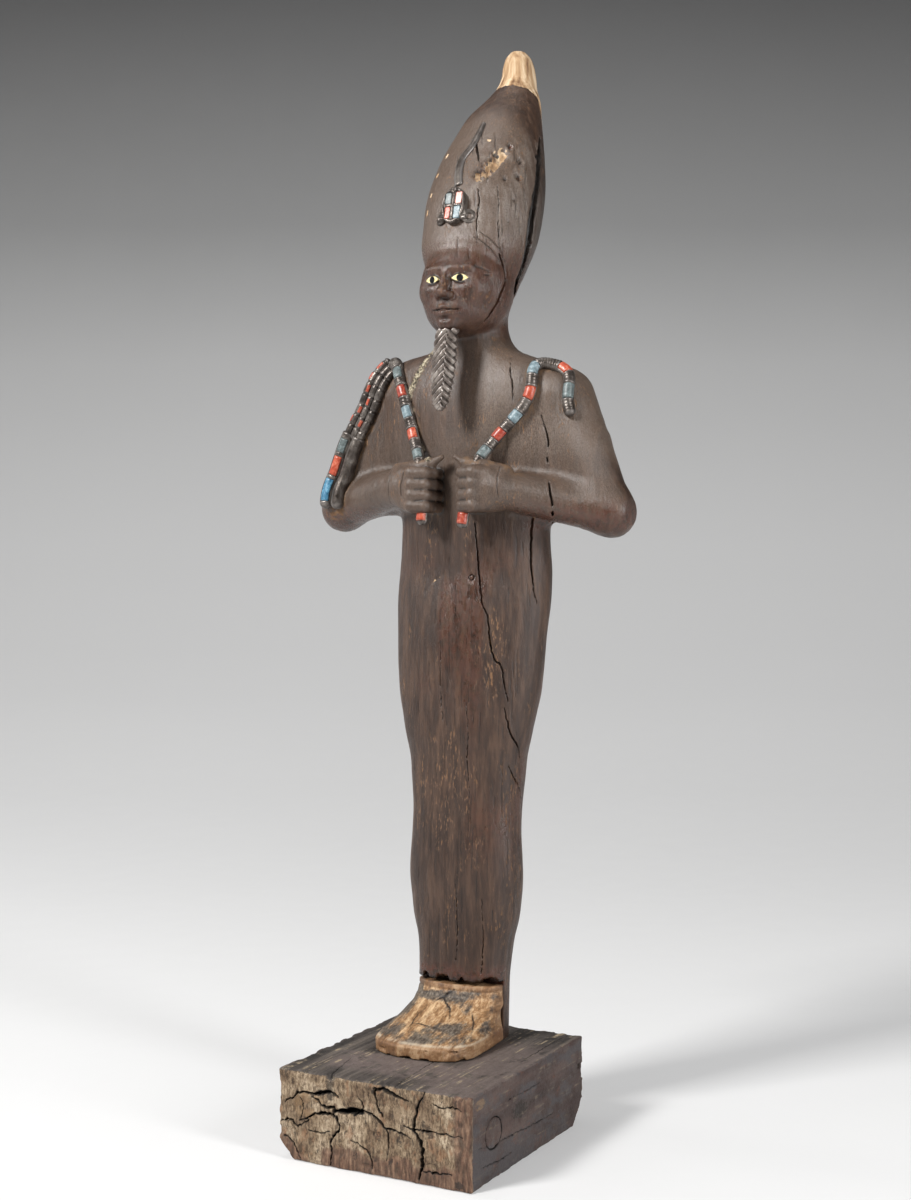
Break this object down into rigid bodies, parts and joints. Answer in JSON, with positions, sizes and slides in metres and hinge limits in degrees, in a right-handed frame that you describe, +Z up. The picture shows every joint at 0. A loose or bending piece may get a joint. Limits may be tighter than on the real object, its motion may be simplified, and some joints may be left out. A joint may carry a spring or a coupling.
{
  "type": "standing mummiform wooden statue",
  "caption": "Shrouded standing wooden figure with a tall crown, plaited beard, crook and flail with coloured inlays, cracked with age, on a rectangular wooden plinth.",
  "frame": {"origin": "centre of the plinth's underside", "axes": "+Z up the statue, -Y the way it faces, +X towards its left hand"},
  "size_m": [0.229, 0.2182, 0.7259],
  "materials": {
    "dark_wood": "dark brown, worn and polished, with cracks",
    "pale_wood": "bare ochre wood with remains of a grey-black coating",
    "plinth_wood": "weathered, grey-black top and cracked grey end grain",
    "dark_metal": "copper alloy with a dark grey-brown patina",
    "red_inlay": "opaque, glossy",
    "blue_inlay": "opaque, glossy",
    "pale_inlay": "opaque, glossy",
    "eye_white": "polished, yellowish",
    "pupil": "opaque black, polished"
  },
  "bodies": {
    "root": {"beard": "dark_metal", "crook": "dark_metal", "crook_inlay_1": "red_inlay", "crook_inlay_2": "blue_inlay", "crook_inlay_3": "red_inlay", "crook_inlay_4": "blue_inlay", "crook_inlay_5": "red_inlay", "crook_inlay_6": "pale_inlay", "crook_inlay_7": "red_inlay", "crook_inlay_8": "blue_inlay", "eye_left": "eye_white", "eye_right": "eye_white", "figure": "dark_wood", "flail": "dark_metal", "flail_inlay_1": "red_inlay", "flail_inlay_2": "blue_inlay", "flail_inlay_3": "red_inlay", "flail_inlay_4": "pale_inlay", "flail_inlay_5": "red_inlay", "flail_inlay_6": "blue_inlay", "foot_piece": "pale_wood", "hood_inlay_1": "blue_inlay", "hood_inlay_2": "red_inlay", "hood_inlay_3": "red_inlay", "hood_inlay_4": "pale_inlay", "plinth": "plinth_wood", "plinth_plug": "plinth_wood", "pupil_left": "pupil", "pupil_right": "pupil", "strand_inlay_1": "blue_inlay", "strand_inlay_2": "red_inlay", "strand_inlay_3": "blue_inlay", "uraeus": "dark_metal", "uraeus_tail": "dark_metal"}
  },
  "joints": []
}
